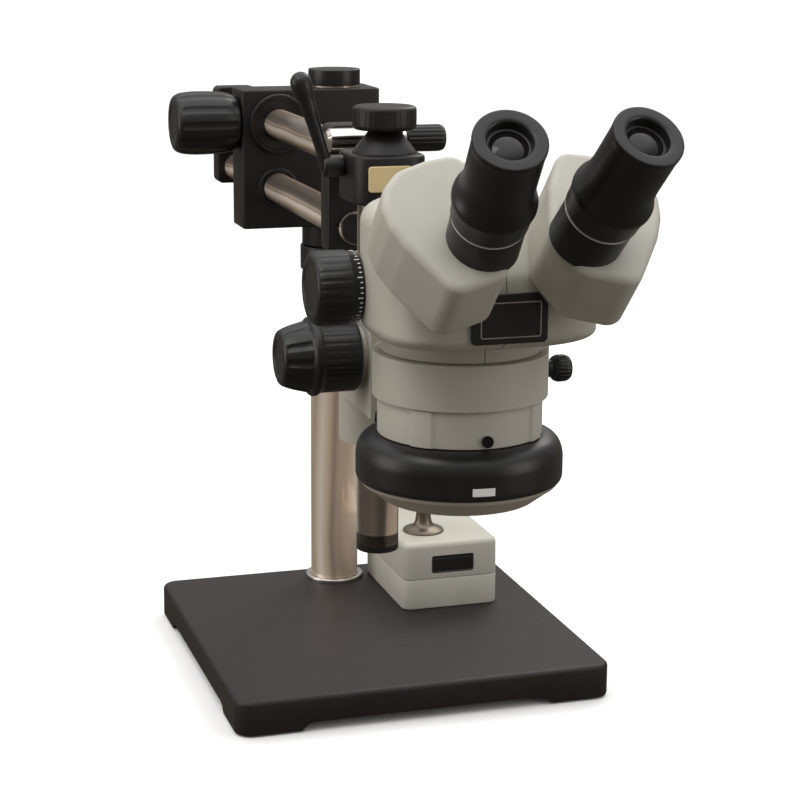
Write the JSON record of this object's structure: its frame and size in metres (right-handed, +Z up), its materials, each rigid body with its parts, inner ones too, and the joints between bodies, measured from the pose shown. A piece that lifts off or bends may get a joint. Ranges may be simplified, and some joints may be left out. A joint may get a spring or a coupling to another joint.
{
  "type": "stereo microscope on boom stand",
  "caption": "Stereo microscope with angled eyepieces and a ring light, carried by a rack focus mount on a sliding double-arm boom over a flat base with a small power box.",
  "frame": {"origin": "middle of the base plate, on the bench plane the foot pads stand on", "axes": "+Z up, -Y towards the eyepieces, +Y towards the boom's tail, +X to the viewer's right"},
  "size_m": [0.25, 0.694, 0.415],
  "materials": {
    "black_casting": "semi-gloss black paint",
    "black_block": "satin black paint",
    "rubber": "matt",
    "chrome": "polished",
    "steel": "bright",
    "bronze": "plain",
    "black_plastic": "satin",
    "collar_black": "black anodised",
    "grey_casting": "light grey fine-textured paint",
    "grey_plastic": "light grey",
    "cream": "satin",
    "diffuser": "frosted",
    "label_black": "satin, blank",
    "set_screw": "blackened",
    "glass": "polished"
  },
  "bodies": {
    "stand": {"base_plate": "black_casting", "foot_pads": "rubber", "pole": "chrome", "pole_bolt": "steel", "pole_ring": "steel", "pole_cap": "black_plastic", "box_base": "grey_plastic", "box_cover": "grey_plastic", "lead_socket": "black_plastic", "switch_frame": "black_plastic"},
    "rocker": {"rocker_switch": "black_plastic"},
    "collar": {"safety_collar": "collar_black", "collar_screw": "black_plastic"},
    "boom_carrier": {"pole_block": "black_block", "arm_bushes": "bronze"},
    "boom_lock": {"boom_lock_knob": "black_plastic"},
    "pole_lock": {"pole_lock_knob": "black_plastic"},
    "boom": {"upper_arm": "chrome", "lower_arm": "chrome", "arm_plugs": "black_plastic", "rear_end_plate": "black_block", "front_end_block": "black_block"},
    "post_holder": {"post_housing": "black_block", "tilt_axle": "chrome", "housing_label": "cream"},
    "tilt_lock": {"tilt_lock_knob": "black_plastic"},
    "lever": {"clamp_lever": "black_plastic"},
    "post_lock": {"post_lock_knob": "black_plastic"},
    "hanging_post": {"drop_post": "chrome", "post_end_cap": "black_plastic"},
    "focus_mount": {"focus_body": "grey_casting", "mount_clamp_screw": "black_plastic"},
    "carriage": {"focus_slide": "grey_casting", "focus_rack": "steel", "mount_ring": "grey_casting"},
    "focus_drive": {"pinion_shaft": "steel", "focus_knobs": "black_plastic"},
    "head_lock": {"head_lock_screw": "black_plastic"},
    "head": {"head_casing": "grey_casting", "head_barrel": "grey_casting", "objective_lenses": "glass", "ring_adapter": "grey_casting", "adapter_screws": "set_screw", "ring_light": "black_plastic", "ring_diffuser": "diffuser", "nameplate": "label_black", "port_cap": "black_plastic"},
    "zoom": {"zoom_shaft": "steel", "zoom_knobs": "black_plastic"},
    "eye_left": {"prism_housing_left": "grey_casting", "prism_left": "glass", "eye_tube_left": "collar_black"},
    "eye_right": {"prism_housing_right": "grey_casting", "prism_right": "glass", "eye_tube_right": "collar_black"},
    "ocular_left": {"eyepiece_left": "black_plastic", "eye_lens_left": "glass"},
    "ocular_right": {"eyepiece_right": "black_plastic", "eye_lens_right": "glass"}
  },
  "joints": [
    {"name": "rocker_tilt", "type": "hinge", "parent": "stand", "child": "rocker", "pos_m": [0.061, 0.0165, 0.0554], "axis": [1, 0, 0], "range_deg": [-8, 8]},
    {"name": "collar_slide", "type": "slide", "parent": "stand", "child": "collar", "axis": [0, 0, 1], "range_m": [-0.15, 0]},
    {"name": "boom_swing", "type": "hinge", "parent": "stand", "child": "boom_carrier", "pos_m": [0, 0.103, 0.3335], "axis": [0, 0, 1], "continuous": true},
    {"name": "boom_lock_turn", "type": "hinge", "parent": "boom_carrier", "child": "boom_lock", "pos_m": [-0.059, 0.097, 0.358], "axis": [-1, 0, 0], "range_deg": [0, 360]},
    {"name": "pole_lock_turn", "type": "hinge", "parent": "boom_carrier", "child": "pole_lock", "pos_m": [0, 0.121, 0.3335], "axis": [0, 1, 0], "range_deg": [0, 360]},
    {"name": "boom_slide", "type": "slide", "parent": "boom_carrier", "child": "boom", "axis": [0, -1, 0], "range_m": [-0.16, 0.09]},
    {"name": "head_tilt", "type": "hinge", "parent": "boom", "child": "post_holder", "pos_m": [-0.038, -0.128, 0.369], "axis": [-1, 0, 0], "range_deg": [0, 45]},
    {"name": "tilt_lock_turn", "type": "hinge", "parent": "post_holder", "child": "tilt_lock", "pos_m": [-0.01, -0.128, 0.369], "axis": [1, 0, 0], "range_deg": [0, 360]},
    {"name": "lever_swing", "type": "hinge", "parent": "post_holder", "child": "lever", "pos_m": [-0.067, -0.16, 0.358], "axis": [1, 0, 0], "range_deg": [-30, 60]},
    {"name": "post_lock_turn", "type": "hinge", "parent": "post_holder", "child": "post_lock", "pos_m": [-0.046, -0.17, 0.388], "axis": [0, 0, 1], "range_deg": [0, 360]},
    {"name": "post_turn", "type": "hinge", "parent": "post_holder", "child": "hanging_post", "pos_m": [-0.046, -0.16, 0.2], "axis": [0, 0, 1], "range_deg": [-110, 110]},
    {"name": "mount_height", "type": "slide", "parent": "hanging_post", "child": "focus_mount", "axis": [0, 0, 1], "range_m": [-0.065, 0.012]},
    {"name": "focus_travel", "type": "slide", "parent": "focus_mount", "child": "carriage", "axis": [0, 0, 1], "range_m": [-0.02513, 0.02513]},
    {"name": "focus_turn", "type": "hinge", "parent": "focus_mount", "child": "focus_drive", "pos_m": [-0.046, -0.205, 0.258], "axis": [1, 0, 0], "range_deg": [-181, 181]},
    {"name": "head_lock_turn", "type": "hinge", "parent": "carriage", "child": "head_lock", "pos_m": [-0.0074, -0.312, 0.268], "axis": [1, 0, 0], "range_deg": [0, 360]},
    {"name": "head_turn", "type": "hinge", "parent": "carriage", "child": "head", "pos_m": [-0.046, -0.307, 0.268], "axis": [0, 0, 1], "range_deg": [-90, 90]},
    {"name": "zoom_turn", "type": "hinge", "parent": "head", "child": "zoom", "pos_m": [-0.046, -0.3, 0.314], "axis": [1, 0, 0], "range_deg": [-135, 135]},
    {"name": "eye_left_swing", "type": "hinge", "parent": "head", "child": "eye_left", "pos_m": [-0.082, -0.40059, 0.36241], "axis": [0, -0.7071, 0.7071], "range_deg": [-8, 8]},
    {"name": "eye_right_swing", "type": "hinge", "parent": "head", "child": "eye_right", "pos_m": [-0.01, -0.40059, 0.36241], "axis": [0, -0.7071, 0.7071], "range_deg": [-8.1, 8.1]},
    {"name": "ocular_left_turn", "type": "hinge", "parent": "eye_left", "child": "ocular_left", "pos_m": [-0.0714, -0.41, 0.353], "axis": [-0.0917, -0.7041, 0.7041], "range_deg": [-120, 120]},
    {"name": "ocular_right_turn", "type": "hinge", "parent": "eye_right", "child": "ocular_right", "pos_m": [-0.0206, -0.41, 0.353], "axis": [0.0917, -0.7041, 0.7041], "range_deg": [-120, 120]}
  ],
  "couplings": [
    {"joint": "focus_turn", "follows": "focus_travel", "rad_per_m": -125},
    {"joint": "eye_right_swing", "follows": "eye_left_swing", "ratio": -1}
  ]
}
